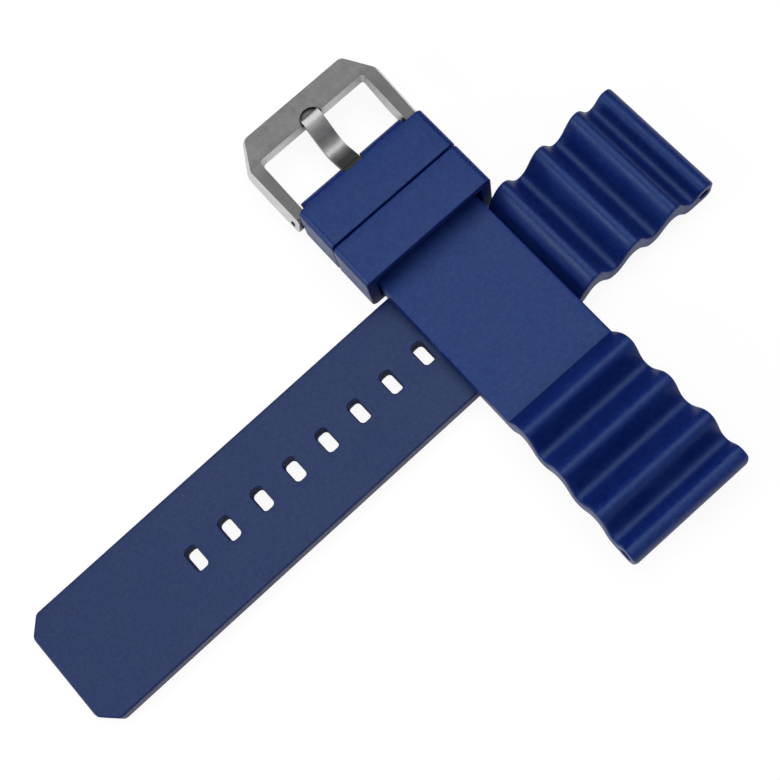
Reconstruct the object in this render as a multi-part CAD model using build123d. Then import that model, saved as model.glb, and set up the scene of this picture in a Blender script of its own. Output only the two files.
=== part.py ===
from build123d import *
from math import cos, radians, sin
import os

# A two-part rubber dive strap, laid out with its short half across its long half.
# The long half lies along X with its lug end at +X. Its underside is the plane Z = 0.
# The origin is the point of that plane where the two centre lines cross.

# Both halves
lug_width = 24.0  # across the end that fits between the lugs of the case
strap_width = 22.0  # across the flat stretch
flat_thickness = 3.4

# The three waves before each lug end, heights above the underside
wave_count = 3
wave_pitch = 8.4
wave_run = 29.4  # from the lug end back to the first rise
crest_from_end = 8.9  # last crest to lug end
valley_from_end = 4.9  # last valley to lug end
crest_height = 8.15
valley_height = 3.75
arch_height = 3.55  # how far the underside lifts below each crest
crease_rise = 1.6
crease_run = 0.9
wave_ease_share = 0.46

# Nose of the lug end with its bore
nose_height = 5.8
nose_lift = 0.2
bore_from_end = 2.2
bore_height = 3.05
bore_diameter = 2.2
nose_corner = 0.8
ellipse_share = 0.5523

# Long half
long_length = 130.5
tip_chamfer = 2.8
tip_corner_round = 1.2
slot_count = 8
slot_pitch = 7.0
first_slot_from_tip = 27.7
slot_across = 4.1
slot_along = 2.2
slot_corner = 0.6
slot_lip = 0.2

# Short half, measured from the axis of the bar in its head
short_length = 79.0
head_clearance = 0.2  # head to each buckle arm

# Tongue and the notch in the head for it
tongue_width = 3.7
tongue_thickness = 1.2
tongue_side_gap = 0.25
tongue_ring_wall = 0.6
tongue_swing_gap = 0.3
tongue_slope_share = 0.55  # how steeply it leaves the bar
tongue_dip_depth_share = 0.17  # of the way to the far bar, how low it dips
tongue_dip_share = 0.57  # of the way to the far bar, where it is lowest
tongue_overlap = 1.1  # how far the tip reaches over the far bar
tongue_root_share = 0.8  # of the ring radius, where the strip leaves the ring

# Spring bar
bar_diameter = 1.6
bar_tunnel_diameter = 1.8
bar_running_gap = 0.05
tube_bore_diameter = 1.2
tube_end_gap = 0.5  # tube end to buckle arm
tube_lip = 0.4
tip_diameter = 0.9
tip_running_gap = 0.05
tip_reach = 1.7  # how far a tip stands into its arm
tip_collar_diameter = 1.1
tip_collar_length = 1.6
spring_wire = 0.2
spring_diameter = 1.04
spring_turns = 16
spring_seat = 0.02

# Buckle frame, measured from the bar axis
arm_thickness = 3.0
arm_height = 3.4
arm_end_radius = 1.75
buckle_reach = 16.8  # bar axis to the outer edge of the far bar
far_bar_width = 5.7
far_bar_brow = 0.8  # top of its outer edge above the plane of the axis
far_bar_underside = 0.6  # its underside below the plane of the axis
buckle_flare = 0.3  # how much further apart the outer sides are at the corners
buckle_corner_along = 5.6
buckle_corner_across = 3.5
buckle_corner_round = 1.8
bevel_depth = 2.0
bevel_angle = 20.0
window_bevel_depth = 2.4
window_bevel_angle = 8.0
notch_depth = 1.0
notch_side_gap = 0.35
window_corner = 0.5
buckle_lift = 6.7  # degrees that the frame lies raised from the strap

# Keepers
keeper_wall = 2.0
keeper_top_wall = 1.6
keeper_floor = 1.5
keeper_side_gap = 0.3
keeper_under_gap = 0.3
keeper_spare_height = 0.4  # over two thicknesses of strap
keeper_length = 8.4
keeper_gap = 0.3
keeper_from_bar = 1.95
keeper_edge = 1.25
keeper_inner_corner = 0.6
keeper_end_edge = 0.35

# How the two halves lie
wave_to_short_half = 0.5  # first wave of the long half to the short half on it
keeper_to_long_half = 0.8  # rear keeper to the edge of the long half
crossing_angle = -90.75
lay_gap = 0.05

# One overrun serves every cut
overrun = 5.0

bar_height = flat_thickness / 2
head_radius = flat_thickness / 2
arm_inside = strap_width / 2 + head_clearance
buckle_half_width = arm_inside + arm_thickness
tongue_slot_width = tongue_width + 2 * tongue_side_gap
tongue_ring_radius = bar_diameter / 2 + bar_running_gap + tongue_ring_wall
tube_half = arm_inside - tube_end_gap
window_end = buckle_reach - far_bar_width
notch_floor = arm_height / 2 - notch_depth
second_keeper = keeper_from_bar + keeper_length + keeper_gap
crossing_from_tip = long_length - wave_run - wave_to_short_half - strap_width / 2
crossing_from_bar = second_keeper + keeper_length + keeper_to_long_half + strap_width / 2


def bezier_wave(start, end):
    """One rise or fall that leaves and arrives level."""
    ease = (end[0] - start[0]) * wave_ease_share
    return Bezier(start, (start[0] + ease, start[1]), (end[0] - ease, end[1]), end)


def chain(points):
    """Rises and falls through a row of crests and valleys."""
    return [bezier_wave(a, b) for a, b in zip(points, points[1:])]


def wave_side_profile(length):
    """The side view of the waved stretch and its nose, as a face on the XZ plane."""

    def back(distance):
        return length - distance

    crests = [back(crest_from_end + wave_pitch * n) for n in reversed(range(wave_count))]
    valleys = [back(valley_from_end + wave_pitch * n) for n in reversed(range(wave_count))]
    nose_x = back(bore_from_end)
    foot = back(wave_run)
    first_rise = Bezier(
        (foot, flat_thickness),
        (foot + crease_run, flat_thickness + crease_rise),
        (crests[0] - (crests[0] - foot) * wave_ease_share, crest_height),
        (crests[0], crest_height),
    )
    top = []
    for crest, valley in zip(crests, valleys):
        top += [(crest, crest_height), (valley, valley_height)]
    top.append((nose_x, nose_height))
    under = [(foot, 0)]
    for crest, valley in zip(crests, valleys):
        under += [(crest, arch_height), (valley, 0)]
    under.append((nose_x, nose_lift))
    nose_end = (length, bore_height)
    upper_bow = (nose_height - bore_height) * ellipse_share
    lower_bow = (bore_height - nose_lift) * ellipse_share
    reach = bore_from_end * ellipse_share
    nose_top = Bezier(
        (nose_x, nose_height),
        (nose_x + reach, nose_height),
        (length, bore_height + upper_bow),
        nose_end,
    )
    nose_under = Bezier(
        nose_end,
        (length, bore_height - lower_bow),
        (nose_x + reach, nose_lift),
        (nose_x, nose_lift),
    )
    foot_line = Line((foot, 0), (foot, flat_thickness))
    edges = [first_rise, *chain(top), nose_top, nose_under, *chain(under), foot_line]
    return Plane.XZ * make_face(Wire(edges))


def across(face, width):
    """A side view turned into a body of the given width, centred on the strap."""
    return extrude(face, width / 2, both=True)


def lug_end(length):
    """The waved stretch, widening to the lugs, with its bore."""
    foot = length - wave_run
    half, wide = strap_width / 2, lug_width / 2
    outline = Polyline((foot, -half), (length, -wide), (length, wide), (foot, half), close=True)
    plan = make_face(outline)
    corners = plan.vertices().group_by(Axis.X)[-1]
    plan = fillet(corners, nose_corner)
    block = extrude(plan, crest_height + overrun)
    body = across(wave_side_profile(length), lug_width + overrun) & block
    bore = Cylinder(bore_diameter / 2, lug_width + overrun, rotation=(90, 0, 0))
    return body - Pos(length - bore_from_end, 0, bore_height) * bore


def slot_tool():
    """One adjusting slot with its eased lips, standing across the strap."""
    hole = RectangleRounded(slot_along, slot_across, slot_corner)
    lip = RectangleRounded(slot_along + 2 * slot_lip, slot_across + 2 * slot_lip, slot_corner + slot_lip)
    through = extrude(hole, flat_thickness + 2 * overrun)
    tool = Pos(0, 0, -overrun) * through
    top = loft([Pos(0, 0, flat_thickness - slot_lip) * hole, Pos(0, 0, flat_thickness) * lip])
    foot = loft([lip, Pos(0, 0, slot_lip) * hole])
    return tool + top + foot


def long_strap():
    """The holed half, from its chamfered tip to its lug end, with its tip at X = 0."""
    foot = long_length - wave_run
    half = strap_width / 2
    outline = Polyline(
        (tip_chamfer, -half),
        (foot, -half),
        (foot, half),
        (tip_chamfer, half),
        (0, half - tip_chamfer),
        (0, tip_chamfer - half),
        close=True,
    )
    plan = make_face(outline)
    tip_corners = plan.vertices().sort_by(Axis.X)[:4]
    plan = fillet(tip_corners, tip_corner_round)
    flat = extrude(plan, flat_thickness)
    for n in range(slot_count):
        flat -= Pos(first_slot_from_tip + n * slot_pitch, 0, 0) * slot_tool()
    return flat + lug_end(long_length)


def short_strap():
    """The buckle half, with the bar tunnel of its head on the Y axis."""
    foot = short_length - wave_run
    slab = Pos(foot / 2, 0, flat_thickness / 2) * Box(foot, strap_width, flat_thickness)
    head = Cylinder(head_radius, strap_width, rotation=(90, 0, 0))
    body = slab + Pos(0, 0, bar_height) * head
    tunnel = Cylinder(bar_tunnel_diameter / 2, strap_width + overrun, rotation=(90, 0, 0))
    body -= Pos(0, 0, bar_height) * tunnel
    notch_end = tongue_ring_radius + tongue_swing_gap
    notch_length = notch_end + head_radius + overrun
    notch = Box(notch_length, tongue_slot_width, flat_thickness + 2 * overrun)
    body -= Pos(notch_end - notch_length / 2, 0, bar_height) * notch
    return body + lug_end(short_length)


def keeper():
    """A moulded loop, high enough for two thicknesses of strap, starting at X = 0."""
    inner_width = strap_width + 2 * keeper_side_gap
    inner_height = 2 * flat_thickness + keeper_spare_height + keeper_under_gap
    outer_width = inner_width + 2 * keeper_wall
    outer_height = inner_height + keeper_top_wall + keeper_floor
    outer = RectangleRounded(outer_width, outer_height, keeper_edge)
    inner = RectangleRounded(inner_width, inner_height, keeper_inner_corner)
    loop = extrude(Plane.YZ * outer, keeper_length)
    ends = loop.edges().filter_by_position(Axis.X, 0, 0) + loop.edges().filter_by_position(
        Axis.X, keeper_length, keeper_length
    )
    loop = fillet(ends, keeper_end_edge)
    middle = (outer_height - keeper_top_wall - keeper_floor) / 2 + keeper_floor - outer_height / 2
    loop -= extrude(Plane.YZ * Pos(0, middle) * inner, keeper_length)
    lift = outer_height / 2 - keeper_floor - keeper_under_gap
    return Pos(0, 0, lift) * loop


def buckle_plan():
    """The outer plan of the frame: arm ends at +X, sides that flare, soft cut corners."""
    near, far = buckle_half_width, buckle_half_width + buckle_flare
    plan = make_face(
        Polyline(
            (arm_end_radius, -near),
            (arm_end_radius, near),
            (buckle_corner_along - buckle_reach, far),
            (-buckle_reach, far - buckle_corner_across),
            (-buckle_reach, buckle_corner_across - far),
            (buckle_corner_along - buckle_reach, -far),
            close=True,
        )
    )
    return fillet(plan.vertices().sort_by(Axis.X)[:4], buckle_corner_round)


def buckle_side_profile():
    """The side view of the frame: round arm ends, a far bar that falls away outwards."""
    high = arm_height / 2
    end = arm_end_radius
    drop = (end * end - high * high) ** 0.5
    arm_end = ThreePointArc((drop, -high), (end, 0), (drop, high))
    rest = Polyline(
        (drop, high),
        (-window_end, high),
        (-buckle_reach, far_bar_brow),
        (-buckle_reach, -far_bar_underside),
        (-window_end, -far_bar_underside),
        (-window_end / 2, -high),
        (drop, -high),
    )
    return Plane.XZ * make_face(Wire([arm_end, *rest.edges()]))


def window_tool():
    """The window of the frame with its sloped upper rim, open towards the strap."""
    length = window_end + arm_end_radius + overrun
    plan = Pos(length / 2 - window_end, 0) * Rectangle(length, 2 * arm_inside)
    corners = plan.vertices().group_by(Axis.X)[0]
    plan = fillet(corners, window_corner)
    rim_start = arm_height / 2 - window_bevel_depth
    rim = extrude(plan, 2 * window_bevel_depth, taper=-window_bevel_angle)
    return Pos(0, 0, -overrun) * extrude(plan, 2 * overrun) + Pos(0, 0, rim_start) * rim


def notch_tool():
    """The half round seat for the tongue in the far bar."""
    radius = tongue_width / 2 + notch_side_gap
    height = notch_depth + overrun
    seat = Cylinder(radius, height) + Pos(radius, 0, 0) * Box(2 * radius, 2 * radius, height)
    return Pos(-window_end, 0, notch_floor + height / 2) * seat


def buckle_frame():
    """The steel frame around the window, with the bar axis on the Y axis."""
    plan = buckle_plan()
    high = arm_height / 2
    block = Pos(0, 0, -high) * extrude(plan, arm_height - bevel_depth)
    block += Pos(0, 0, high - bevel_depth) * extrude(plan, bevel_depth, taper=bevel_angle)
    width = 2 * (buckle_half_width + buckle_flare) + overrun
    body = across(buckle_side_profile(), width) & block
    hole_radius = tip_diameter / 2 + tip_running_gap
    hole = Cylinder(hole_radius, width, rotation=(90, 0, 0))
    return body - window_tool() - notch_tool() - hole


def tongue_path():
    """The centre line of the tongue, from its ring to its tip in the notch."""
    seat = notch_floor + bar_running_gap + tongue_thickness / 2
    root = (-tongue_ring_radius * tongue_root_share, 0)
    middle = (-window_end * tongue_dip_share, -window_end * tongue_dip_depth_share)
    edge = (-window_end, seat)
    tip = (tongue_thickness / 2 - window_end - tongue_overlap, seat)
    start_slope = (-window_end, -window_end * tongue_slope_share)
    return Spline(root, middle, edge, tip, tangents=[start_slope, (-1, 0)])


def buckle_tongue():
    """A bent strip with a ring round the bar, dipping before it rises to the far bar."""
    path = Plane.XZ * tongue_path()
    section = Plane(origin=path @ 0, x_dir=(0, 1, 0), z_dir=path % 0)
    strip = sweep(section * Rectangle(tongue_width, tongue_thickness), path=path)
    tip = path @ 1
    nose = Pos(tip.X, 0, tip.Z) * Cylinder(tongue_thickness / 2, tongue_width, rotation=(90, 0, 0))
    ring = Cylinder(tongue_ring_radius, tongue_width, rotation=(90, 0, 0))
    bore = Cylinder(bar_diameter / 2 + bar_running_gap, tongue_width + overrun, rotation=(90, 0, 0))
    return strip + nose + ring - bore


def turned(points):
    """A round body along Y from a half section of (radius, position) points."""
    face = make_face(Polyline(*points, close=True))
    return revolve(face, Axis.Y)


def bar_tube():
    """The tube of the spring bar, with lips that hold its tips."""
    outer, bore = bar_diameter / 2, tube_bore_diameter / 2
    neck = tip_diameter / 2 + tip_running_gap
    end, lip = tube_half, tube_half - tube_lip
    return turned(
        [
            (neck, -end),
            (outer, -end),
            (outer, end),
            (neck, end),
            (neck, lip),
            (bore, lip),
            (bore, -lip),
            (neck, -lip),
        ]
    )


def bar_tip():
    """One sprung tip, on the +Y side, with the collar that stays inside the tube."""
    pin, collar = tip_diameter / 2, tip_collar_diameter / 2
    shoulder = tube_half - tube_lip
    inner = shoulder - tip_collar_length
    tip_end = arm_inside + tip_reach
    return turned([(0, inner), (collar, inner), (collar, shoulder), (pin, shoulder), (pin, tip_end), (0, tip_end)])


def bar_spring():
    """The coil that pushes the two tips apart, on the Y axis."""
    room = 2 * (tube_half - tube_lip - tip_collar_length - spring_seat) - spring_wire
    coil_radius = (spring_diameter - spring_wire) / 2
    pitch = room / spring_turns
    helix = Helix(pitch=pitch, height=room, radius=coil_radius)
    section = Plane(origin=helix @ 0, z_dir=helix % 0) * Circle(spring_wire / 2)
    coil = sweep(section, path=helix, is_frenet=True)
    return Rot(90, 0, 0) * Pos(0, 0, -room / 2) * coil


def lay_long(shape):
    """Place a piece of the long half, so that the crossing is at the origin."""
    return Pos(-crossing_from_tip, 0, 0) * shape


def lay_short(shape):
    """Place a piece of the short half across the long half."""
    run = radians(crossing_angle)
    start = Pos(-crossing_from_bar * cos(run), -crossing_from_bar * sin(run), flat_thickness + lay_gap)
    return start * Rot(0, 0, crossing_angle) * shape


def on_bar(shape):
    """Lift a piece that was made round the Y axis to the bar of the short half."""
    return Pos(0, 0, bar_height) * shape


def raised(shape):
    """Turn a buckle piece up about the bar, as it lies in rest."""
    return Rot(0, buckle_lift, 0) * shape


pieces = {
    "long_strap": lay_long(long_strap()),
    "short_strap": lay_short(short_strap()),
    "keeper_front": lay_short(Pos(keeper_from_bar, 0, 0) * keeper()),
    "keeper_rear": lay_short(Pos(second_keeper, 0, 0) * keeper()),
    "buckle_frame": lay_short(on_bar(raised(buckle_frame()))),
    "buckle_tongue": lay_short(on_bar(raised(buckle_tongue()))),
    "bar_tube": lay_short(on_bar(bar_tube())),
    "bar_tip_left": lay_short(on_bar(bar_tip())),
    "bar_tip_right": lay_short(on_bar(mirror(bar_tip(), Plane.XZ))),
    "bar_spring": lay_short(on_bar(bar_spring())),
}

os.makedirs("parts", exist_ok=True)
for name, piece in pieces.items():
    export_step(piece, f"parts/{name}.step")
    print(name, len(piece.solids()), round(piece.volume, 2))
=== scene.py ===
# %% [markdown]
# # A rubber dive strap
# This lesson dresses the CAD model of a two-part watch strap. The long half lies flat, and
# the short half, with its steel buckle and two keepers, lies across it. The CAD solids say
# where everything is. Here the rubber gets soft moulded edges and grain, and the steel gets
# its brushing.

# %% Load the frame
import bpy
import bmesh
import math
from mathutils import Matrix, Vector


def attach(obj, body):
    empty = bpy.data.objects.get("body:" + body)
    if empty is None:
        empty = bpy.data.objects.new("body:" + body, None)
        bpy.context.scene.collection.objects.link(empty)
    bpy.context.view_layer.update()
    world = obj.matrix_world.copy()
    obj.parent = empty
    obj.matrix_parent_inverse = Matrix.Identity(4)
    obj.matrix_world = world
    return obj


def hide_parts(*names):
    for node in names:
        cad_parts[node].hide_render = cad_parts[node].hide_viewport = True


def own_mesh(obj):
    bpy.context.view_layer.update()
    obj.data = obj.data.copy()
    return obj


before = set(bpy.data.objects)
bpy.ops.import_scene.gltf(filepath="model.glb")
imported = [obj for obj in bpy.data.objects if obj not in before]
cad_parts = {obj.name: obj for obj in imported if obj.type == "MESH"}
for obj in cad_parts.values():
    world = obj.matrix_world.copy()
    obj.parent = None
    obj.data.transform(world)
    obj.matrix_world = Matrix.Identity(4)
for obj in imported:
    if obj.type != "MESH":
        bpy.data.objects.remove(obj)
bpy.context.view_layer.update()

# %% [markdown]
# Blender counts in metres, but a strap is thought of in millimetres. One factor keeps the
# numbers below readable. The sizes are the ones that the solids were built from.

# %% The sizes of the strap
MM = 0.001
STRAP_WIDTH = 22.0
LUG_WIDTH = 24.0
HALF_WIDTH, LUG_HALF = STRAP_WIDTH / 2, LUG_WIDTH / 2
THICK = 3.4
EDGE_ROUND = 0.38
LONG_LENGTH = 130.5
SHORT_LENGTH = 79.0
WAVE_RUN = 29.4
CROSSING_FROM_TIP = 89.6
CROSSING_FROM_BAR = 30.85
CROSSING_ANGLE = -90.75
LAY_GAP = 0.05
print("long half", LONG_LENGTH, "mm, short half", SHORT_LENGTH, "mm from the bar")

# %% [markdown]
# Each half could be drawn where it lies, but numbers along a turned strap are hard to read.
# So each is drawn in its own plain frame, with X along the strap, and then laid down. The
# long half needs only a shift. The short half is turned across it and rests on top of it.

# %% Where the two halves lie
turn = math.radians(CROSSING_ANGLE)
long_place = Matrix.Translation((-CROSSING_FROM_TIP * MM, 0, 0))
short_place = Matrix.Translation(
    (
        -CROSSING_FROM_BAR * math.cos(turn) * MM,
        -CROSSING_FROM_BAR * math.sin(turn) * MM,
        (THICK + LAY_GAP) * MM,
    )
) @ Matrix.Rotation(turn, 4, "Z")
print("the bar lies at", [round(c * 1000, 1) for c in short_place.translation], "mm")

# %% [markdown]
# The camera comes first, so that every later look at the model is at the photo's angle. Its
# place was worked out from the straight edges and the slots: it stands almost overhead, a
# little off to one side, and sees the strap turned by about 42 degrees.

# %% The camera
CAMERA_PLACE = (-0.04202, -0.05894, 0.22418)
CAMERA_ANGLES = (14.4485, 6.0149, -42.0795)
SENSOR, LENS = 36.0, 65.48


def add_object(name, data):
    """Put a mesh, a lamp or a camera into the scene."""
    thing = bpy.data.objects.new(name, data)
    bpy.context.collection.objects.link(thing)
    return thing


camera_data = bpy.data.cameras.new("camera")
camera_data.sensor_width, camera_data.lens = SENSOR, LENS
camera = add_object("camera", camera_data)
camera.location = CAMERA_PLACE
camera.rotation_euler = [math.radians(a) for a in CAMERA_ANGLES]
bpy.context.scene.camera = camera
print("camera height", round(camera.location.z * 1000), "mm, lens", LENS, "mm")

# %% [markdown]
# Every piece is made as lists of points and faces. These helpers turn them into an object
# that moves with its CAD body. Rubber from a mould has smooth skin, so faces are shaded
# smooth, and only edges that bend by more than a set angle stay crisp.

# %% Turning points into a piece
SPECK = 0.0005 * MM
CRISP_FROM = 38


def mesh_in_mm(name, points, faces):
    """A mesh from points in millimetres."""
    mesh = bpy.data.meshes.new(name)
    mesh.from_pydata([Vector(p) * MM for p in points], [], faces)
    return mesh


def crisp_edges(mesh):
    """Shade a mesh smooth and keep its sharper edges crisp."""
    work = bmesh.new()
    work.from_mesh(mesh)
    bmesh.ops.dissolve_degenerate(work, edges=work.edges, dist=SPECK)
    bmesh.ops.recalc_face_normals(work, faces=work.faces)
    for face in work.faces:
        face.smooth = True
    limit = math.radians(CRISP_FROM)
    for edge in work.edges:
        edge.smooth = edge.is_manifold and edge.calc_face_angle(0) < limit
    work.to_mesh(mesh)
    work.free()


def lay_down(name, mesh, place, body):
    """Lay a mesh down as a piece and tie it to its CAD body."""
    mesh.transform(place)
    mesh.name = name
    piece = add_object(name, mesh)
    crisp_edges(mesh)
    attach(piece, body)
    return piece


print("edges stay crisp from", CRISP_FROM, "degrees")

# %% [markdown]
# The waves are the strap's signature. A sine would be the easy way to draw them, but the real
# ones are flatter at their tops and steeper between, and fall in a shorter run than they
# rise. So, seen from the side, each rise and fall is one Bezier curve that starts and ends
# level, and its ease says how flat the ends are.

# %% One rise or fall of the waves
CREST_HEIGHT, VALLEY_HEIGHT, ARCH_HEIGHT = 8.15, 3.75, 3.55
CREST_FROM_END, VALLEY_FROM_END, WAVE_PITCH = 8.9, 4.9, 8.4
NOSE_HEIGHT, NOSE_LIFT = 5.8, 0.2
BORE_FROM_END, BORE_HEIGHT, BORE_RADIUS = 2.2, 3.05, 1.1
WAVE_EASE = 0.46
CREASE_RUN, CREASE_RISE = 0.9, 1.6
FINE_STEPS = 60


def bezier(a, b, c, d):
    """Points on one Bezier curve."""
    found = []
    for n in range(FINE_STEPS + 1):
        t = n / FINE_STEPS
        u = 1 - t
        weights = (u * u * u, 3 * u * u * t, 3 * u * t * t, t * t * t)
        x, z = (sum(w * p[k] for w, p in zip(weights, (a, b, c, d))) for k in (0, 1))
        found.append((x, z))
    return found


def level_wave(a, b):
    """One rise or fall that leaves and arrives level."""
    ease = (b[0] - a[0]) * WAVE_EASE
    return bezier(a, (a[0] + ease, a[1]), (b[0] - ease, b[1]), b)


print("a wave rises", round(CREST_HEIGHT - VALLEY_HEIGHT, 2), "mm from valley to crest")

# %% [markdown]
# The side view has two lines. The upper one starts with a crease at the foot, and the lower
# one arches under each crest, so the rubber stays about equally thick. A curve gives points
# at uneven places, but the strap needs its height at any place along it. So the lines are
# sampled finely and read by interpolation.

# %% The side view of a waved end
def wave_lines(length):
    """The upper and lower side lines of a waved end, from the flat to the nose."""
    crests = [length - CREST_FROM_END - WAVE_PITCH * n for n in (2, 1, 0)]
    valleys = [length - VALLEY_FROM_END - WAVE_PITCH * n for n in (2, 1, 0)]
    foot, nose = length - WAVE_RUN, length - BORE_FROM_END
    upper = bezier(
        (foot, THICK),
        (foot + CREASE_RUN, THICK + CREASE_RISE),
        (crests[0] - (crests[0] - foot) * WAVE_EASE, CREST_HEIGHT),
        (crests[0], CREST_HEIGHT),
    )
    lower = level_wave((foot, 0), (crests[0], ARCH_HEIGHT))
    ends = [(crest, CREST_HEIGHT, ARCH_HEIGHT) for crest in crests[1:]]
    ends.append((nose, NOSE_HEIGHT, NOSE_LIFT))
    for crest, valley, (after, top, low) in zip(crests, valleys, ends):
        upper += level_wave((crest, CREST_HEIGHT), (valley, VALLEY_HEIGHT))[1:]
        upper += level_wave((valley, VALLEY_HEIGHT), (after, top))[1:]
        lower += level_wave((crest, ARCH_HEIGHT), (valley, 0))[1:]
        lower += level_wave((valley, 0), (after, low))[1:]
    return upper, lower


def read_line(line, x):
    """The height of a side line at x."""
    for (x0, z0), (x1, z1) in zip(line, line[1:]):
        if x <= x1:
            return z0 + (z1 - z0) * max(0.0, x - x0) / max(x1 - x0, 1e-9)
    return line[-1][1]


print("points on a side line:", len(wave_lines(LONG_LENGTH)[0]))

# %% [markdown]
# A strap is a loft: many cross sections, one behind the other, each a rectangle with soft
# corners. A station holds where a section stands, its top and bottom heights and its half
# width. Stations crowd together where the shape turns quickly, such as at the round nose.

# %% Stations along the waved end and the nose
WAVE_STEP = 0.3
NOSE_STEPS = 12
NOSE_CORNER = 0.8


def quarter_turn(steps):
    """Angles from nothing to a right angle, in equal steps."""
    return [math.pi / 2 * n / steps for n in range(steps + 1)]


def lug_half_width(x, foot):
    """Half the width of a strap that widens evenly from the foot of the waves."""
    return HALF_WIDTH + (LUG_HALF - HALF_WIDTH) * (x - foot) / WAVE_RUN


def wave_stations(length):
    """Stations from the start of the waves to the end of the nose."""
    upper, lower = wave_lines(length)
    foot, nose = length - WAVE_RUN, length - BORE_FROM_END
    stations = []
    count = round((nose - foot) / WAVE_STEP)
    for n in range(count):
        x = foot + (nose - foot) * n / count
        stations.append((x, read_line(upper, x), read_line(lower, x), lug_half_width(x, foot)))
    for angle in quarter_turn(NOSE_STEPS):
        x = nose + BORE_FROM_END * math.sin(angle)
        top = BORE_HEIGHT + (NOSE_HEIGHT - BORE_HEIGHT) * math.cos(angle)
        low = BORE_HEIGHT - (BORE_HEIGHT - NOSE_LIFT) * math.cos(angle)
        wide = lug_half_width(x, foot)
        past = x - (length - NOSE_CORNER)
        if past > 0:
            wide += math.sqrt(max(0.0, NOSE_CORNER**2 - past**2)) - NOSE_CORNER
        stations.append((x, top, low, wide))
    return stations


print("stations in a waved end:", len(wave_stations(LONG_LENGTH)))

# %% [markdown]
# The tip of the long half has two cut corners, each softened, and a small round all along
# the edge of its end face. The round is made by letting the first sections start a little
# smaller, along a quarter circle.

# %% Stations at the chamfered tip
TIP_CHAMFER = 2.8
TIP_CORNER = 1.2
TIP_TURN = math.radians(45)
TIP_STEPS = (
    0, 0.02, 0.06, 0.12, 0.2, 0.29, 0.38, 0.6, 0.9,
    1.3, 1.7, 2.1, 2.45, 2.7, 2.95, 3.2, 3.4, 4.2,
)


def tip_half_width(x):
    """Half the width of the tip at x: end, cut corner and side, with soft joints."""
    soft = TIP_CORNER * math.tan(TIP_TURN / 2)
    reach = soft * math.cos(TIP_TURN)
    centre = TIP_CHAMFER + soft
    if x < reach:
        curve = math.sqrt(TIP_CORNER**2 - (TIP_CORNER - x) ** 2)
        return HALF_WIDTH - TIP_CHAMFER - soft + curve
    if x < TIP_CHAMFER - reach:
        return HALF_WIDTH - TIP_CHAMFER + x
    if x < centre:
        return HALF_WIDTH - TIP_CORNER + math.sqrt(TIP_CORNER**2 - (centre - x) ** 2)
    return HALF_WIDTH


print("half width from the tip on:", [round(tip_half_width(x), 2) for x in (0, 1, 3, 5)], "mm")

# %% [markdown]
# Now the loft itself. Each section is a closed ring of points: across the top, round the
# edge, down the side, and back along the bottom. Neighbouring rings are joined by four-sided
# faces. Where a slot will be, the faces are left out, and the slot fills that space later.

# %% The ring of one section
ARC_STEPS = 4
SLOT_BLOCK_ACROSS = 3.2
SLOT_LINES = 20
SIDE_LINES = 10
FLAT_HALF = HALF_WIDTH - EDGE_ROUND


def across_lines():
    """Places across a strap, from -1 to 1, with extra lines where the slots are."""
    inner = SLOT_BLOCK_ACROSS / FLAT_HALF
    outer = [-1 + (1 - inner) * n / SIDE_LINES for n in range(SIDE_LINES)]
    middle = [-inner + 2 * inner * n / SLOT_LINES for n in range(SLOT_LINES + 1)]
    return outer + middle + [-v for v in reversed(outer)]


LINES = across_lines()


def side_points(x, flat, soft, top, low):
    """The softened top edge, the side and the softened bottom edge, from top to bottom."""
    edge = [(soft * math.sin(a), soft * math.cos(a)) for a in quarter_turn(ARC_STEPS)[1:]]
    upper = [(x, flat + out, top - soft + up) for out, up in edge]
    return upper + [(x, flat + out, low + soft - up) for out, up in reversed(edge)]


def section_ring(station, shrink=0.0):
    """The ring of points of one section: top, right side, bottom, left side."""
    x, top, low, wide = station
    top, low, wide = top - shrink, low + shrink, wide - shrink
    soft = max(0.0, min(EDGE_ROUND - shrink, (top - low) / 2))
    flat = wide - soft
    side = side_points(x, flat, soft, top, low)
    ring = [(x, flat * s, top) for s in LINES] + side
    ring += [(x, flat * s, low) for s in reversed(LINES)]
    return ring + [(px, -py, pz) for px, py, pz in reversed(side)]


RING = len(section_ring((0, THICK, 0, HALF_WIDTH)))
BOTTOM_START = len(LINES) + 2 * ARC_STEPS
print("points in a ring:", RING)

# %% [markdown]
# A ring's points are counted round from its top left corner, so one number finds the same
# place in every ring. That makes the faces a matter of counting. A solid thing has no open
# side. The nose and the head close by themselves, because their last rings are flat, but the
# tip is blunt, so it is filled with a few faces more.

# %% Lofting the rings of a strap
def loft(stations, shrinks, skipped=()):
    """Points and faces of a strap, leaving out the squares of the slot blocks."""
    points, faces = [], []
    for station, shrink in zip(stations, shrinks):
        points += section_ring(station, shrink)
    for n in range(len(stations) - 1):
        here, onward = n * RING, (n + 1) * RING
        for k in range(RING):
            if (n, k) not in skipped:
                j = (k + 1) % RING
                faces.append((here + k, here + j, onward + j, onward + k))
    return points, faces


def cap_tip(faces):
    """Close the first ring of a loft, between its top and bottom rows and at its sides."""
    count = len(LINES)
    bottom_end = BOTTOM_START + count - 1
    for k in range(count - 1):
        faces.append((k, bottom_end - k, bottom_end - k - 1, k + 1))
    faces.append(tuple(range(count - 1, BOTTOM_START + 1)))
    faces.append((*range(bottom_end, RING), 0))


print("faces in a plain ring of the loft:", RING)

# %% [markdown]
# A slot is a rounded rectangle through the strap, and its lips are eased because the mould
# leaves no sharp edge there. A cut with a Boolean would leave it sharp. Rings of points can
# follow the lip instead, and each ring is the same rounded rectangle, grown by a distance.
# How far its edge is in one direction has no short formula, so it is found by halving.

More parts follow.
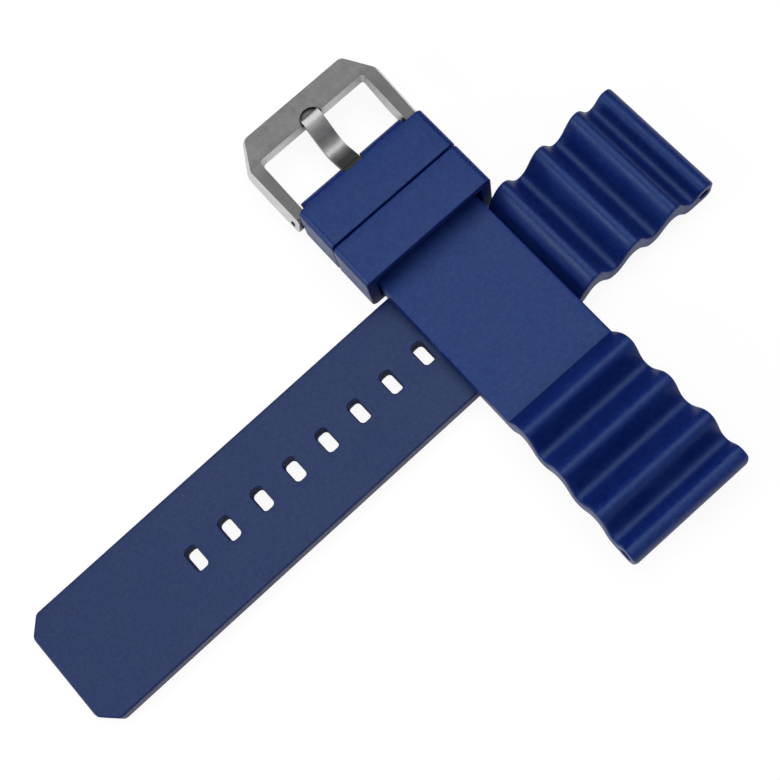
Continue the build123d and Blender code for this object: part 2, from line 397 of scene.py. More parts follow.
# %% The outline of a slot
SLOT_COUNT, SLOT_PITCH, FIRST_SLOT = 8, 7.0, 27.7
SLOT_ALONG, SLOT_ACROSS, SLOT_CORNER, SLOT_LIP = 2.2, 4.1, 0.72, 0.26
SLOT_BLOCK_ALONG = 2.3
BLOCK_STEPS = 14
LIP_STEPS = 4
HALVINGS = 30


def slot_reach(angle, grow):
    """How far the slot's edge is from its middle in one direction, grown by a distance."""
    dx, dy = math.cos(angle), math.sin(angle)
    half_x, half_y = SLOT_ALONG / 2 - SLOT_CORNER, SLOT_ACROSS / 2 - SLOT_CORNER
    near, far = 0.0, SLOT_ACROSS
    for _ in range(HALVINGS):
        middle = (near + far) / 2
        qx, qy = abs(dx * middle) - half_x, abs(dy * middle) - half_y
        gap = math.hypot(max(qx, 0), max(qy, 0)) + min(max(qx, qy), 0) - SLOT_CORNER - grow
        near, far = (middle, far) if gap < 0 else (near, middle)
    return near


def slot_rings():
    """How far each ring of a slot stands out, and its height, from top to bottom."""
    rings = []
    for a in quarter_turn(LIP_STEPS):
        rings.append((SLOT_LIP * (1 - math.sin(a)), THICK - SLOT_LIP * (1 - math.cos(a))))
    return rings + [(grow, THICK - z) for grow, z in reversed(rings)]


print("a slot is", SLOT_ALONG, "by", SLOT_ACROSS, "mm, and its lips start", SLOT_LIP, "mm outside")

# %% [markdown]
# The loft leaves a square block free for each slot. For each point on the edge of the block,
# the slot has a point in the same direction from its middle. So the rings match the block
# point by point, go over the upper lip, down the wall and over the lower lip, and close the
# gap between the top and the bottom of the strap.

# %% Filling a slot's block
def block_edge(first, last, low_line, high_line, bottom):
    """The points of the loft round one slot block, in order, on the top or the bottom."""

    def at(n, line):
        k = BOTTOM_START + len(LINES) - 1 - line if bottom else line
        return n * RING + k

    edge = [at(first, line) for line in range(low_line, high_line)]
    edge += [at(n, high_line) for n in range(first, last)]
    edge += [at(last, line) for line in range(high_line, low_line, -1)]
    return edge + [at(n, low_line) for n in range(last, first, -1)]


def join_rings(faces, a, b):
    """Add four-sided faces between two rings with as many points."""
    for n in range(len(a)):
        m = (n + 1) % len(a)
        faces.append((a[n], a[m], b[m], b[n]))


def add_slot(points, faces, centre, first, last):
    """Fill one slot block with the slot's lips and wall."""
    low_line, high_line = SIDE_LINES, SIDE_LINES + SLOT_LINES
    upper = block_edge(first, last, low_line, high_line, False)
    lower = block_edge(first, last, low_line, high_line, True)
    angles = [math.atan2(points[i][1], points[i][0] - centre) for i in upper]
    before = upper
    for grow, z in slot_rings():
        ring = range(len(points), len(points) + len(angles))
        for angle in angles:
            reach = slot_reach(angle, grow)
            points.append((centre + reach * math.cos(angle), reach * math.sin(angle), z))
        join_rings(faces, before, ring)
        before = ring
    join_rings(faces, before, lower)


print("points round one slot:", 2 * (BLOCK_STEPS + SLOT_LINES))

# %% [markdown]
# Two things go right through the rubber from side to side: the bore in each lug end, and the
# tunnel for the buckle's bar. They cross the loft's rings at every height, so here a cutter
# and a Boolean modifier are the shorter way. The cutter flares a little at both ends, which
# gives the mouth of each bore a soft rim.

# %% The cutters
CUT_SIDES = 40
CUT_PAST = 2.0
RIM = 0.16
MOUTH_INSET = 0.04


def tube_faces(size, rows):
    """Faces of a tube of rings that follow each other, with both ends closed."""
    rings = [range(row * size, (row + 1) * size) for row in range(rows)]
    faces = []
    for ring, following in zip(rings, rings[1:]):
        join_rings(faces, ring, following)
    return faces + [tuple(rings[0]), tuple(rings[-1])]


def lathe_cutter(radius, reach, x, z, mouth):
    """A round cutter across the strap that widens at both mouths."""
    stops = [
        (-reach - CUT_PAST, radius + RIM + CUT_PAST),
        (-mouth, radius + RIM),
        (-mouth + RIM / 2, radius + RIM / 4),
        (-mouth + RIM, radius),
    ]
    stops += [(-y, r) for y, r in reversed(stops)]
    points = []
    for y, r in stops:
        for n in range(CUT_SIDES):
            a = 2 * math.pi * n / CUT_SIDES
            points.append((x + r * math.cos(a), y, z + r * math.sin(a)))
    return points, tube_faces(CUT_SIDES, len(stops))


def bore_cutter(length):
    """The cutter for the bore in the lug end of a half of this length."""
    middle = length - BORE_FROM_END
    return lathe_cutter(BORE_RADIUS, LUG_HALF, middle, BORE_HEIGHT, LUG_HALF - MOUTH_INSET)


def box_cutter(x0, x1, y0, y1, z0, z1):
    """A plain box for a cut."""
    points = [(x, y, z) for x in (x0, x1) for y in (y0, y1) for z in (z0, z1)]
    faces = [(0, 1, 3, 2), (4, 6, 7, 5), (0, 4, 5, 1), (2, 3, 7, 6), (0, 2, 6, 4), (1, 5, 7, 3)]
    return points, faces


print("a bore is", 2 * BORE_RADIUS, "mm wide and", round(2 * (BORE_RADIUS + RIM), 2), "at its rim")

# %% [markdown]
# A Boolean needs clean meshes: no doubled points, no loose ones, and faces that all look
# outwards. The cut is then read back as a plain mesh, so nothing of the cutters stays behind.
# Each rubber mesh stands in for a CAD solid of the same name, which it hides.

# %% Cutting a strap and laying it down
SAME_POINT = 0.001 * MM


def clean_mesh(name, points, faces):
    """A mesh in millimetres with doubled points merged and its faces turned outwards."""
    mesh = mesh_in_mm(name, points, faces)
    work = bmesh.new()
    work.from_mesh(mesh)
    bmesh.ops.remove_doubles(work, verts=work.verts, dist=SAME_POINT)
    bmesh.ops.dissolve_degenerate(work, edges=work.edges, dist=SPECK)
    loose = [v for v in work.verts if not v.link_faces]
    bmesh.ops.delete(work, geom=loose, context="VERTS")
    bmesh.ops.recalc_face_normals(work, faces=work.faces)
    work.to_mesh(mesh)
    work.free()
    return mesh


def cut(mesh, cutters):
    """Subtract cutters from a mesh and return the result as a new mesh."""
    body = add_object("cut body", mesh)
    tools = []
    for points, faces in cutters:
        tool = add_object("cutter", clean_mesh("cutter", points, faces))
        step = body.modifiers.new("cut", "BOOLEAN")
        step.operation, step.solver, step.object = "DIFFERENCE", "EXACT", tool
        tools.append(tool)
    bpy.context.view_layer.update()
    shown = body.evaluated_get(bpy.context.evaluated_depsgraph_get())
    result = bpy.data.meshes.new_from_object(shown)
    for thing in [body] + tools:
        bpy.data.objects.remove(thing)
    return result


def rubber_piece(name, mesh, place, body):
    """Lay a rubber mesh down as a piece that takes the place of its CAD node."""
    piece = lay_down(name, mesh, place, body)
    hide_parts(name.replace("_skin", ""))
    print(name, len(mesh.vertices), "points")
    return piece


print("points closer than", round(SAME_POINT * 1000, 4), "mm are merged")

# %% [markdown]
# The long half starts with the tip's stations, then runs along the flat. Over each slot it
# has a block of evenly spaced stations, and after the flat come the waves. The flat itself
# would need only two stations, but a few more keep its faces from growing long and thin.

# %% The long half
LONG_PLAIN_STEPS = (8.0, 13.0, 18.0, 22.0)
LONG_LATER_STEPS = (84.0, 90.0, 96.0)
BEFORE_FOOT = 0.4


def flat_station(x, half_width=HALF_WIDTH):
    """A station on the flat part."""
    return (x, THICK, 0.0, half_width)


def long_stations():
    """Stations of the long half, its shrinks, and where each slot block begins and ends."""
    stations = [flat_station(x, tip_half_width(x)) for x in TIP_STEPS]
    missing = [max(0.0, EDGE_ROUND - x) for x in TIP_STEPS]
    shrinks = [EDGE_ROUND - math.sqrt(EDGE_ROUND**2 - short**2) for short in missing]
    stations += [flat_station(x) for x in LONG_PLAIN_STEPS]
    blocks = []
    for slot in range(SLOT_COUNT):
        centre = FIRST_SLOT + slot * SLOT_PITCH
        first = len(stations)
        for n in range(BLOCK_STEPS + 1):
            x = centre - SLOT_BLOCK_ALONG + 2 * SLOT_BLOCK_ALONG * n / BLOCK_STEPS
            stations.append(flat_station(x))
        blocks.append((centre, first, len(stations) - 1))
    foot = LONG_LENGTH - WAVE_RUN
    stations += [flat_station(x) for x in (*LONG_LATER_STEPS, foot - BEFORE_FOOT)]
    stations += wave_stations(LONG_LENGTH)
    shrinks += [0.0] * (len(stations) - len(shrinks))
    return stations, shrinks, blocks


def long_mesh():
    """The long half as one closed mesh."""
    stations, shrinks, blocks = long_stations()
    skipped = set()
    for _, first, last in blocks:
        for n in range(first, last):
            for line in range(SIDE_LINES, SIDE_LINES + SLOT_LINES):
                skipped.add((n, line))
                skipped.add((n, BOTTOM_START + len(LINES) - 2 - line))
    points, faces = loft(stations, shrinks, skipped)
    cap_tip(faces)
    for centre, first, last in blocks:
        add_slot(points, faces, centre, first, last)
    return clean_mesh("long", points, faces)


long_cut = cut(long_mesh(), [bore_cutter(LONG_LENGTH)])
long_piece = rubber_piece("long_strap_skin", long_cut, long_place, "long_half")

# %% [markdown]
# The short half has the same waves. At its other end it wraps round the buckle's bar in a
# half round head, with a tunnel for the bar and a notch in its middle for the tongue. The
# head needs no piece of its own: its stations just rise along a half circle.

# %% The short half
BAR_HEIGHT, BAR_TUNNEL = THICK / 2, 0.9
HEAD_STEPS = 10
NOTCH_HALF, NOTCH_END = 2.1, 1.75
SHORT_PLAIN_STEPS = (0.0, 1.0, 3.0, 8.0, 15.0, 19.0, 22.0, 28.0, 34.0, 40.0, 45.0)


def short_stations():
    """Stations of the short half, from its round head to its nose."""
    stations = []
    for a in quarter_turn(HEAD_STEPS)[:-1]:
        x, rise = -BAR_HEIGHT * math.cos(a), BAR_HEIGHT * math.sin(a)
        stations.append((x, BAR_HEIGHT + rise, BAR_HEIGHT - rise, HALF_WIDTH))
    foot = SHORT_LENGTH - WAVE_RUN
    stations += [flat_station(x) for x in (*SHORT_PLAIN_STEPS, foot - BEFORE_FOOT)]
    return stations + wave_stations(SHORT_LENGTH)


def short_mesh():
    """The short half as one closed mesh."""
    stations = short_stations()
    points, faces = loft(stations, [0.0] * len(stations))
    return clean_mesh("short", points, faces)


tunnel = lathe_cutter(BAR_TUNNEL, HALF_WIDTH, 0.0, BAR_HEIGHT, HALF_WIDTH)
notch = box_cutter(
    -2 * CUT_PAST, NOTCH_END, -NOTCH_HALF, NOTCH_HALF, -CUT_PAST, THICK + CUT_PAST
)
short_cut = cut(short_mesh(), [bore_cutter(SHORT_LENGTH), tunnel, notch])
short_piece = rubber_piece("short_strap_skin", short_cut, short_place, "short_half")

# %% [markdown]
# A keeper is a moulded loop. Seen along the strap it is a rounded rectangle with a rounded
# opening, and the edges of its ends are soft. A bevel could round them afterwards, but here
# each section is drawn a little larger or smaller instead, so one function draws them all.

# %% The outline of a keeper
KEEPER_LENGTH, KEEPER_FROM_BAR, KEEPER_GAP = 8.4, 1.95, 0.3
KEEPER_OUTER = (-13.3, 13.3, -1.8, 8.8)
KEEPER_OPENING = (-11.3, 11.3, -0.3, 7.2)
KEEPER_CORNER, KEEPER_INNER_CORNER, LEAST_CORNER = 1.25, 0.6, 0.02
KEEPER_END_EDGE, KEEPER_MOUTH_EDGE = 0.25, 0.2
CORNER_STEPS, RUN_STEPS, LENGTH_STEPS = 8, 10, 4


def rounded_rectangle(bounds, corner, grow):
    """Points (y, z) round a rounded rectangle that is grown outwards by a distance."""
    soft = max(corner + grow, LEAST_CORNER)
    y0, y1 = bounds[0] - grow + soft, bounds[1] + grow - soft
    z0, z1 = bounds[2] - grow + soft, bounds[3] + grow - soft
    centres = ((y1, z1), (y0, z1), (y0, z0), (y1, z0))
    found = []
    for n, (cy, cz) in enumerate(centres):
        for k in range(CORNER_STEPS + 1):
            a = math.radians(90 * n + 90 * k / CORNER_STEPS)
            found.append((cy + soft * math.cos(a), cz + soft * math.sin(a)))
        (here_y, here_z), (ny, nz) = found[-1], centres[(n + 1) % 4]
        there_y, there_z = ny + soft * math.cos(a), nz + soft * math.sin(a)
        for k in range(1, RUN_STEPS):
            t = k / RUN_STEPS
            found.append((here_y + (there_y - here_y) * t, here_z + (there_z - here_z) * t))
    return found


def soft_ended_run(edge, outwards):
    """Places from end to end of a keeper, and how far its surface stands out at each."""
    start = []
    for a in reversed(quarter_turn(ARC_STEPS)):
        start.append((edge * (1 - math.sin(a)), outwards * edge * (1 - math.cos(a))))
    middle = [(KEEPER_LENGTH * n / LENGTH_STEPS, 0.0) for n in range(1, LENGTH_STEPS)]
    return start + middle + [(KEEPER_LENGTH - x, grow) for x, grow in reversed(start)]


print("a keeper is", KEEPER_OUTER[1] - KEEPER_OUTER[0], "mm wide and", KEEPER_LENGTH, "mm long")

# %% [markdown]
# A bent strip would need a seam, and a cut block would need its edges rounded afterwards. So
# a keeper is a stack of closed rings that runs over the outside, round the edge of the end
# face, and back along the inside, like the skin of a ring doughnut with square corners.

# %% The two keepers
def keeper_rings():
    """One keeper's rings, over the outside, the far end, the opening and the near end."""
    rings = []
    for x, grow in soft_ended_run(KEEPER_END_EDGE, -1):
        section = rounded_rectangle(KEEPER_OUTER, KEEPER_CORNER, grow)
        rings.append([(x, y, z) for y, z in section])
    for x, grow in reversed(soft_ended_run(KEEPER_MOUTH_EDGE, 1)):
        section = rounded_rectangle(KEEPER_OPENING, KEEPER_INNER_CORNER, grow)
        rings.append([(x, y, z) for y, z in section])
    return rings


def keeper_piece(name, start, body):
    """Build a keeper whose near end stands at start, measured from the bar."""
    rings = keeper_rings()
    size = len(rings[0])
    points = [(x + start, y, z) for ring in rings for x, y, z in ring]
    rows = [range(row * size, (row + 1) * size) for row in range(len(rings))]
    faces = []
    for row, following in zip(rows, rows[1:] + rows[:1]):
        join_rings(faces, row, following)
    return rubber_piece(name, clean_mesh(name, points, faces), short_place, body)


rear_start = KEEPER_FROM_BAR + KEEPER_LENGTH + KEEPER_GAP
front_keeper = keeper_piece("keeper_front_skin", KEEPER_FROM_BAR, "front_loop")
rear_keeper = keeper_piece("keeper_rear_skin", rear_start, "rear_loop")
print("rings in a keeper:", len(keeper_rings()))

# %% [markdown]
# The coil of the spring bar is hidden in its tube. It is one wire wound in a helix, and each
# tip presses on its own end of it. So it is built as two halves that meet in the middle.

# %% The coil of the spring bar
WIRE_RADIUS, COIL_RADIUS, COIL_REACH = 0.1, 0.42, 8.5726
HALF_TURNS, STEPS_IN_TURN, WIRE_SIDES = 8, 20, 8


def coil_half(side):
    """Points and faces of a tube along half the helix, from the middle to one end."""
    points = []
    steps = HALF_TURNS * STEPS_IN_TURN
    advance = COIL_REACH / (HALF_TURNS * 2 * math.pi)
    for n in range(steps + 1):
        turned = side * n / STEPS_IN_TURN * 2 * math.pi
        outward = Vector((math.cos(turned), 0, math.sin(turned)))
        onward = Vector((-COIL_RADIUS * outward.z, advance, COIL_RADIUS * outward.x)).normalized()
        sideways = onward.cross(outward)
        middle = outward * COIL_RADIUS + Vector((0, advance * turned, BAR_HEIGHT))
        for k in range(WIRE_SIDES):
            a = 2 * math.pi * k / WIRE_SIDES
            points.append(middle + WIRE_RADIUS * (math.cos(a) * outward + math.sin(a) * sideways))
    return points, tube_faces(WIRE_SIDES, steps + 1)


coil_halves = []
for side, name, joint in (
    (1, "bar_spring_left", "tip_left_slide"),
    (-1, "bar_spring_right", "tip_right_slide"),
):
    coil_mesh = mesh_in_mm(name, *coil_half(side))
    half = lay_down(name, coil_mesh, short_place, "short_half")
    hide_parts("bar_spring")
    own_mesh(half)
    coil_halves.append(half)

# %% [markdown]
# The steel of the buckle keeps its CAD solids, because their shape is right. Polishing takes
# the sharpness off each edge, and light catches such a narrow round. Two modifiers give it:
# the first merges the flat triangles into whole faces, the second rounds what angles are left.

# %% Polished edges on the steel
POLISHED_EDGE, EDGE_SEGMENTS = 0.12, 3
FLAT_WITHIN, EDGE_FROM = math.radians(0.8), math.radians(20)


def soften_steel(node):
    """Round the edges of a CAD node without touching its points."""
    steel = bpy.data.objects[node]
    flat = steel.modifiers.new("whole faces", "DECIMATE")
    flat.decimate_type, flat.angle_limit = "DISSOLVE", FLAT_WITHIN
    flat.delimit = {"NORMAL"}
    edge = steel.modifiers.new("polished edge", "BEVEL")
    edge.width, edge.segments = POLISHED_EDGE * MM, EDGE_SEGMENTS
    edge.limit_method, edge.angle_limit = "ANGLE", EDGE_FROM
    edge.use_clamp_overlap = True
    edge.harden_normals = True
    print(node, "edges rounded by", POLISHED_EDGE, "mm")


for node in ("buckle_frame", "buckle_tongue"):
    soften_steel(node)

# %% [markdown]
# A finish is a small network of nodes round one shader. In the editor its nodes are joined
# by hand. In a script the same is three steps each time: add a node, choose its settings, and
# give each input a value or a link. One helper does all three, so a finish reads as a list.

# %% A material and its nodes
def feed(tree, node, inputs):
    """Set a node's inputs to plain values, or link other nodes' outputs into them."""
    for name, value in inputs.items():
        if isinstance(value, bpy.types.NodeSocket):
            tree.links.new(value, node.inputs[name])
        else:
            node.inputs[name].default_value = value


def add_node(tree, kind, inputs, **settings):
    """Add a node, choose its settings and feed its inputs."""
    node = tree.nodes.new(kind)
    for name, value in settings.items():
        setattr(node, name, value)
    feed(tree, node, inputs)
    return node


def new_material(name):
    """A new material with its nodes, its one shader and the object's own coordinates."""
    material = bpy.data.materials.new(name)
    material.use_nodes = True
    tree = material.node_tree
    place = tree.nodes.new("ShaderNodeTexCoord").outputs["Object"]
    return material, tree, tree.nodes["Principled BSDF"], place


def dress(thing, finish):
    """Give an object one material only."""
    thing.data.materials.clear()
    thing.data.materials.append(finish)


print("materials that came with the frame:", len(bpy.data.materials))

# %% [markdown]
# Most finishes here are noise that is stretched onto a range of colour, gloss or height. The
# noise is read from object coordinates, which are metres, so a grain has the same size on
# every piece and in every view. A scale of 1000 gives about one blot per millimetre.

# %% Noise, blends and bumps
HOLLOW_SAMPLES = 8


def noise(tree, place, scale, detail, roughness=0.5):
    """A noise texture read from a place socket."""
    inputs = {"Vector": place, "Scale": scale, "Detail": detail, "Roughness": roughness}
    return add_node(tree, "ShaderNodeTexNoise", inputs).outputs["Fac"]


def spread(tree, value, low, high, from_low=0.3, from_high=0.7):
    """Stretch one range of a value onto another."""
    inputs = {"Value": value, "To Min": low, "To Max": high}
    inputs.update({"From Min": from_low, "From Max": from_high})
    return add_node(tree, "ShaderNodeMapRange", inputs).outputs["Result"]


def mixed_colour(tree, factor, first, second):
    """Blend two colours by a factor. Each is three numbers or a socket."""
    a, b = ((*c, 1) if isinstance(c, tuple) else c for c in (first, second))
    inputs = {"A": a, "B": b, "Factor": factor}
    return add_node(tree, "ShaderNodeMix", inputs, data_type="RGBA").outputs["Result"]


def mixed_value(tree, share, first, second):
    """Blend two noise values by a fixed share of the second."""
    inputs = {"A": first, "B": second, "Factor": share}
    return add_node(tree, "ShaderNodeMix", inputs).outputs["Result"]


def arithmetic(tree, operation, *values):
    """A Math node that is fed with sockets and plain numbers."""
    inputs = dict(enumerate(values))
    return add_node(tree, "ShaderNodeMath", inputs, operation=operation).outputs["Value"]


def bump(tree, height, distance, strength, under=None):
    """A bump from a height, on top of another bump where one is given."""
    inputs = {"Height": height, "Distance": distance, "Strength": strength}
    if under is not None:
        inputs["Normal"] = under
    return add_node(tree, "ShaderNodeBump", inputs).outputs["Normal"]


def openness(tree, reach, own_only):
    """One on an open face, and less in a hollow that is deep for this reach."""
    settings = {"only_local": own_only, "samples": HOLLOW_SAMPLES}
    node = add_node(tree, "ShaderNodeAmbientOcclusion", {"Distance": reach}, **settings)
    return node.outputs["AO"]


print("a hollow is looked for along", HOLLOW_SAMPLES, "rays")

# %% [markdown]
# Moulded rubber is matt and a little uneven: a pale bloom lies on it in fine mottles, its
# gloss is cloudy where hands have touched it, and the mould leaves a fine grain. Noise of
# four sizes gives these. The long half is painted greyer up to a place along the strap, a
# painted sheen of light, so its colour changes along the strap. Slots and narrow gaps get
# painted shade: ambient occlusion finds them from the shape itself, darkens their colour and
# makes them duller.

# %% The blue rubber
PLAIN_RUBBER_COLOURS = (0.0014, 0.0075, 0.091), (0.0046, 0.0185, 0.118)
# The second pair is the rubber painted greyer, a painted sheen of light on the long half.
PAINTED_SHEEN_COLOURS = (0.0050, 0.0070, 0.060), (0.0090, 0.0160, 0.080)
# Painted shade that ambient occlusion lays into slots and narrow gaps.
PAINTED_HOLLOW_SHADE = (0.0008, 0.004, 0.05)
SHINE, SHINE_TINT = 0.25, (0.62, 0.92, 1.0, 1)
# Each noise is a scale, a detail and, where it isn't a half, a roughness.
CLOUD, MOTTLE = (160, 3), (1500, 3, 0.7)
GRAIN, FLECK = (3600, 2, 0.6), (7000, 1)
MOTTLE_SHARE, MOTTLE_RANGE = 0.75, (0.38, 0.62)
# The rougher of these two shows. The second falls from a hollow's depth to its edge.
OPEN_ROUGHNESS, HOLLOW_ROUGHNESS = (0.37, 0.46), (0.9, 0.2)
GRAIN_DEPTH, GRAIN_STRENGTH = 0.03 * MM, 1.0
FLECK_DEPTH, FLECK_STRENGTH = 0.02 * MM, 0.9
HOLLOW_REACH = 3 * MM
COLOUR_FADE, ROUGHNESS_FADE = (0.45, 0.85), (0.45, 0.8)
SHEEN_UP_TO, SHEEN_GONE_FROM = 0 * MM, 18 * MM


def rubber_finish(name, sheen_span=None):
    """Moulded rubber: mottled colour, cloudy gloss, a fine grain and painted shade in hollows.
    It may be painted greyer, a painted sheen, up to a first place along the strap, and plain from
    a second place on."""
    material, tree, shader, place = new_material(name)
    cloud = noise(tree, place, *CLOUD)
    mottle = noise(tree, place, *MOTTLE)
    bloom = spread(tree, mixed_value(tree, MOTTLE_SHARE, cloud, mottle), 0, 1, *MOTTLE_RANGE)
    colour = mixed_colour(tree, bloom, *PLAIN_RUBBER_COLOURS)
    if sheen_span is not None:
        # Painted sheen: the colour is greyer up to a place along the long half.
        greyer = mixed_colour(tree, bloom, *PAINTED_SHEEN_COLOURS)
        along = add_node(tree, "ShaderNodeSeparateXYZ", {"Vector": place}).outputs["X"]
        colour = mixed_colour(tree, spread(tree, along, 0, 1, *sheen_span), greyer, colour)
    # Ambient occlusion paints shade into slots and narrow gaps, and makes them duller.
    open_share = openness(tree, HOLLOW_REACH, own_only=True)
    open_colour = spread(tree, open_share, 0, 1, *COLOUR_FADE)
    open_rough = spread(tree, cloud, *OPEN_ROUGHNESS)
    hollow_rough = spread(tree, open_share, *HOLLOW_ROUGHNESS, *ROUGHNESS_FADE)
    skin = bump(tree, noise(tree, place, *GRAIN), GRAIN_DEPTH, GRAIN_STRENGTH)
    fleck = noise(tree, place, *FLECK)
    feed(tree, shader, {
        "Base Color": mixed_colour(tree, open_colour, PAINTED_HOLLOW_SHADE, colour),
        "Roughness": arithmetic(tree, "MAXIMUM", open_rough, hollow_rough),
        "Specular IOR Level": SHINE,
        "Specular Tint": SHINE_TINT,
        "Normal": bump(tree, fleck, FLECK_DEPTH, FLECK_STRENGTH, skin),
    })
    return material


rubber = rubber_finish("blue rubber")
dress(long_piece, rubber_finish("blue rubber with painted sheen", sheen_span=(SHEEN_UP_TO, SHEEN_GONE_FROM)))
for piece in (short_piece, front_keeper, rear_keeper):
    dress(piece, rubber)
print("the long half is greyer up to x =", round(SHEEN_UP_TO * 1000), "mm")

# %% [markdown]
# The buckle is brushed steel. Brushing is thousands of fine parallel scratches. Noise that is
# squeezed across the scratches and stretched along them gives those lines, and drives both
# the roughness and a shallow bump. The top faces are painted darker than the walls, as
# painted shade, and count as part metal only, so that they stay grey where they mirror
# nothing. A face's direction tells the two apart. The arms are painted darker still than the
# far bar, also painted shade, so the tone also changes with the distance from the bar, and
# ambient occlusion paints shade into corners.

# %% The brushed steel of the frame
def grey(value, blue=0.0):
    """A neutral colour, or one that is a touch bluer."""
    return (value, value, value + blue)


# Painted shade: the top is painted darker than the walls, and the arms darker still, both streaked
# by the brushing.
TOP_PAINTED_SHADE_COLOURS = grey(0.085, 0.001), grey(0.15, 0.001)
ARM_PAINTED_SHADE_COLOURS = grey(0.042, 0.001), grey(0.08, 0.001)
WALL_COLOURS = grey(0.46), grey(0.60)
# Painted shade for corners and for the tongue beside the strap, laid by ambient occlusion.
PAINTED_STEEL_SHADE = grey(0.012)
SCRATCHES, SCRATCH_STRETCH = (6500, 3, 0.6), 10.0
SCRATCH_DEPTH, SCRATCH_STRENGTH = 0.02 * MM, 0.25
BLOTCHES, BLOTCH_SHARE = (420, 4, 0.6), 0.5
STREAK_RANGE, STEEL_ROUGHNESS = (0.35, 0.65), (0.30, 0.44)
FRAME_RAISED = math.radians(6.7)
TOP_FACING = (0.80, 0.93)
WALL_METAL, TOP_METAL = 1.0, 0.45
CORNER_REACH, CORNER_FADE = 1.5 * MM, (0.35, 0.9)
ARM_END, FAR_BAR_START = 8.5, 12.5


def stretched(tree, place, angle, along, across):
    """Object coordinates turned by an angle and scaled along and across the brushing."""
    inputs = {"Vector": place, "Rotation": (0, 0, angle), "Scale": (along, across, across)}
    node = add_node(tree, "ShaderNodeMapping", inputs, vector_type="TEXTURE")
    return node.outputs["Vector"]


def share_along(tree, vector, direction, low, high):
    """Zero up to a low reach of a vector along a direction, and one from a high reach on."""
    inputs = {0: vector, 1: direction}
    node = add_node(tree, "ShaderNodeVectorMath", inputs, operation="DOT_PRODUCT")
    return spread(tree, node.outputs["Value"], 0, 1, low, high)


def from_bar(tree, place, low, high):
    """Zero up to a first distance from the bar, towards the buckle, and one from a second on."""
    outward = short_place.to_3x3() @ Vector((-1, 0, 0))
    start = outward.dot(short_place.translation)
    return share_along(tree, place, outward, start + low * MM, start + high * MM)


frame_up = short_place.to_3x3() @ Vector((math.sin(FRAME_RAISED), 0, math.cos(FRAME_RAISED)))
steel, tree, shader, place = new_material("brushed steel")
scratches = noise(tree, stretched(tree, place, turn, SCRATCH_STRETCH, 1.0), *SCRATCHES)
both = mixed_value(tree, BLOTCH_SHARE, scratches, noise(tree, place, *BLOTCHES))
streaks = spread(tree, both, 0, 1, *STREAK_RANGE)
facing = tree.nodes.new("ShaderNodeTexCoord").outputs["Normal"]
top = share_along(tree, facing, frame_up, *TOP_FACING)
# Painted shade on the top faces, darker on the arms than on the far bar, against lighter walls.
arms = mixed_colour(tree, streaks, *ARM_PAINTED_SHADE_COLOURS)
far_bar = mixed_colour(tree, streaks, *TOP_PAINTED_SHADE_COLOURS)
brushed = mixed_colour(tree, from_bar(tree, place, ARM_END, FAR_BAR_START), arms, far_bar)
tone = mixed_colour(tree, top, mixed_colour(tree, streaks, *WALL_COLOURS), brushed)
# Painted shade in corners, from ambient occlusion.
open_steel = spread(tree, openness(tree, CORNER_REACH, own_only=False), 0, 1, *CORNER_FADE)
feed(tree, shader, {
    "Base Color": mixed_colour(tree, open_steel, PAINTED_STEEL_SHADE, tone),
    "Roughness": spread(tree, both, *STEEL_ROUGHNESS),
    "Normal": bump(tree, scratches, SCRATCH_DEPTH, SCRATCH_STRENGTH),
    "Metallic": spread(tree, top, WALL_METAL, TOP_METAL, 0, 1),
})
dress(bpy.data.objects["buckle_frame"], steel)
print("scratches", SCRATCH_STRETCH, "times as long as wide")

# %% [markdown]
# The tongue is a bent steel strip with a plain satin face. Its root is painted dark, a painted
# shade where it comes out from between the keeper and the bar, and ambient occlusion paints
# shade on it where the strap and the keepers stand close. The spring bar is turned on a lathe,
# which leaves fine rings round it, so there the noise is stretched the other way. Both are
# plain metal, and a gentle noise in the colour and the roughness keeps them from looking new.

# %% The satin tongue and the turned bar
# The root colour is painted shade.
TONGUE_COLOURS, ROOT_PAINTED_SHADE = (grey(0.28), grey(0.42)), grey(0.07)
BAR_COLOURS = grey(0.34, 0.01), grey(0.5)
ROOT_END, TONGUE_START = 3.0, 5.5
ROOT_REACH, ROOT_FADE = 5 * MM, (0.45, 0.95)
TURNED_RINGS, RING_STRETCH = (4200, 2), 8.0
TONGUE_ROUGHNESS, BAR_ROUGHNESS = (0.48, 0.58), (0.25, 0.4)

smooth_steel, tree, shader, place = new_material("polished steel")
wear = noise(tree, place, *BLOTCHES)
tongue_colour = mixed_colour(tree, spread(tree, wear, 0, 1), *TONGUE_COLOURS)
# Painted shade where the strap and the keepers stand close to the tongue, and at its root.
open_tongue = spread(tree, openness(tree, ROOT_REACH, own_only=False), 0, 1, *ROOT_FADE)
tongue_colour = mixed_colour(tree, open_tongue, PAINTED_STEEL_SHADE, tongue_colour)
past_root = from_bar(tree, place, ROOT_END, TONGUE_START)
feed(tree, shader, {
    "Base Color": mixed_colour(tree, past_root, ROOT_PAINTED_SHADE, tongue_colour),
    "Roughness": spread(tree, wear, *TONGUE_ROUGHNESS),
    "Metallic": 1.0,
})
dress(bpy.data.objects["buckle_tongue"], smooth_steel)

bar_steel, tree, shader, place = new_material("turned steel")
turned = noise(tree, stretched(tree, place, turn, 1.0, RING_STRETCH), *TURNED_RINGS)
feed(tree, shader, {
    "Base Color": mixed_colour(tree, spread(tree, turned, 0, 1), *BAR_COLOURS),
    "Roughness": spread(tree, turned, *BAR_ROUGHNESS),
    "Metallic": 1.0,
})
bar_parts = [bpy.data.objects[name] for name in ("bar_tube", "bar_tip_left", "bar_tip_right")]
for part in bar_parts + coil_halves:
    dress(part, bar_steel)
print("turned steel on", len(bar_parts + coil_halves), "parts of the bar")

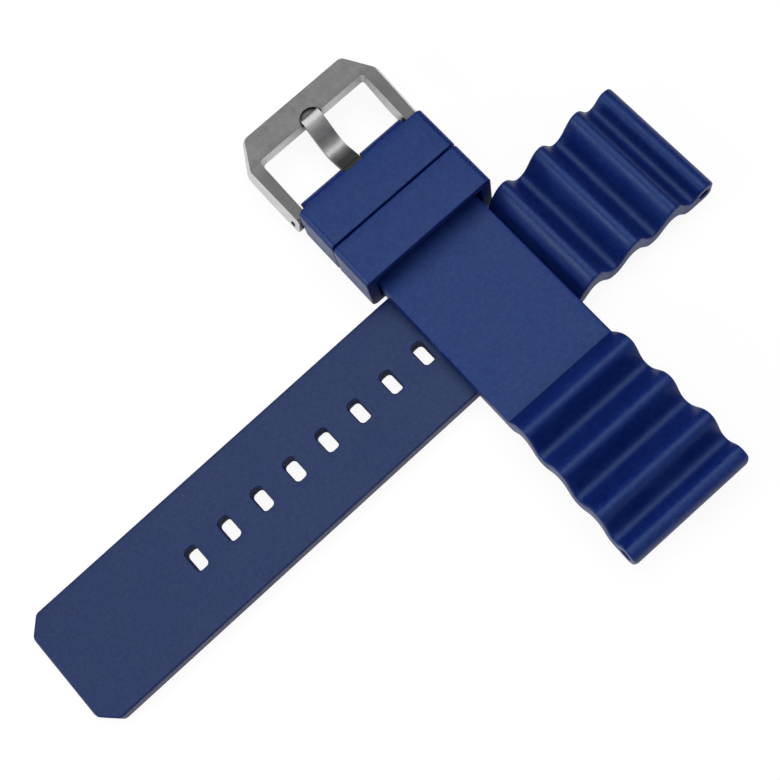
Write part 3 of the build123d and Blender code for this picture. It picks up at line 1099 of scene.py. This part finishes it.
# %% [markdown]
# The strap was photographed on white. A floor that is lit to pure white would need so much
# light that the strap would look washed out. So the Light Path node tells which rays come
# straight from the camera, and those see white, mixed with the real floor so that the soft
# shadow stays. Rays mirrored by steel see a little of that white, and all others the floor.

# %% The floor
CAMERA_WHITE, MIRRORED_WHITE = 0.9, 0.2
FLOOR_HALF, FLOOR_DROP = 12, 0.1 * MM
PAPER, PAPER_ROUGHNESS = 0.9, 0.9


def white_share(tree, for_camera, for_mirrors, for_rest):
    """How white a ray finds the background, by the kind of ray."""
    rays = tree.nodes.new("ShaderNodeLightPath").outputs
    mirrored = arithmetic(tree, "MAXIMUM", rays["Is Glossy Ray"], rays["Is Transmission Ray"])
    share = arithmetic(tree, "MULTIPLY_ADD", mirrored, for_mirrors, for_rest)
    seen = arithmetic(tree, "MULTIPLY", rays["Is Camera Ray"], for_camera)
    return arithmetic(tree, "MAXIMUM", share, seen)


floor_mesh = bpy.data.meshes.new("floor")
corners = [(FLOOR_HALF * x, FLOOR_HALF * y, 0) for x, y in ((-1, -1), (1, -1), (1, 1), (-1, 1))]
floor_mesh.from_pydata(corners, [], [(0, 1, 2, 3)])
floor = add_object("floor", floor_mesh)
floor.location.z = -FLOOR_DROP
white, tree, shader, place = new_material("white table")
feed(tree, shader, {
    "Base Color": (PAPER, PAPER, PAPER, 1),
    "Roughness": PAPER_ROUGHNESS,
    "Specular IOR Level": 0.0,
})
pure = add_node(tree, "ShaderNodeEmission", {"Color": (1, 1, 1, 1)})
blend = add_node(tree, "ShaderNodeMixShader", {
    0: white_share(tree, CAMERA_WHITE, MIRRORED_WHITE, 0),
    1: shader.outputs["BSDF"],
    2: pure.outputs["Emission"],
})
feed(tree, tree.nodes["Material Output"], {"Surface": blend.outputs["Shader"]})
dress(floor, white)
print("floor at z", floor.location.z)

# %% [markdown]
# Light comes from three soft panels. A large one overhead lights the flats and the crests, a
# smaller one low on the left lights the flanks of the waves, and a faint one in front keeps
# the near sides from going black. The world is white to the camera, as the floor is, but it
# gives the strap hardly any light, so that the valleys stay dark.

# %% The lights
# Each panel has a name, a place and a size in metres, and a power in watts.
PANELS = (
    ("overhead", (0.03, 0.11, 1.0), 1.2, 13.2),
    ("left", (-1.1, 0.32, 0.50), 0.5, 8.0),
    ("front", (0.1, -0.8, 0.75), 0.8, 2.0),
)
WORLD_MIRRORED, WORLD_REST = 0.06, 0.04

for name, place, size, power in PANELS:
    data = bpy.data.lights.new(name, "AREA")
    data.shape, data.size, data.energy = "SQUARE", size, power
    lamp = add_object(name, data)
    lamp.location = place
    lamp.rotation_euler = (-Vector(place)).to_track_quat("-Z", "Y").to_euler()

world = bpy.data.worlds.new("light tent")
world.use_nodes = True
tree = world.node_tree
feed(tree, tree.nodes["Background"], {
    "Color": (1, 1, 1, 1),
    "Strength": white_share(tree, 1.0, WORLD_MIRRORED, WORLD_REST),
})
bpy.context.scene.world = world
bpy.context.scene.view_settings.view_transform = "Standard"
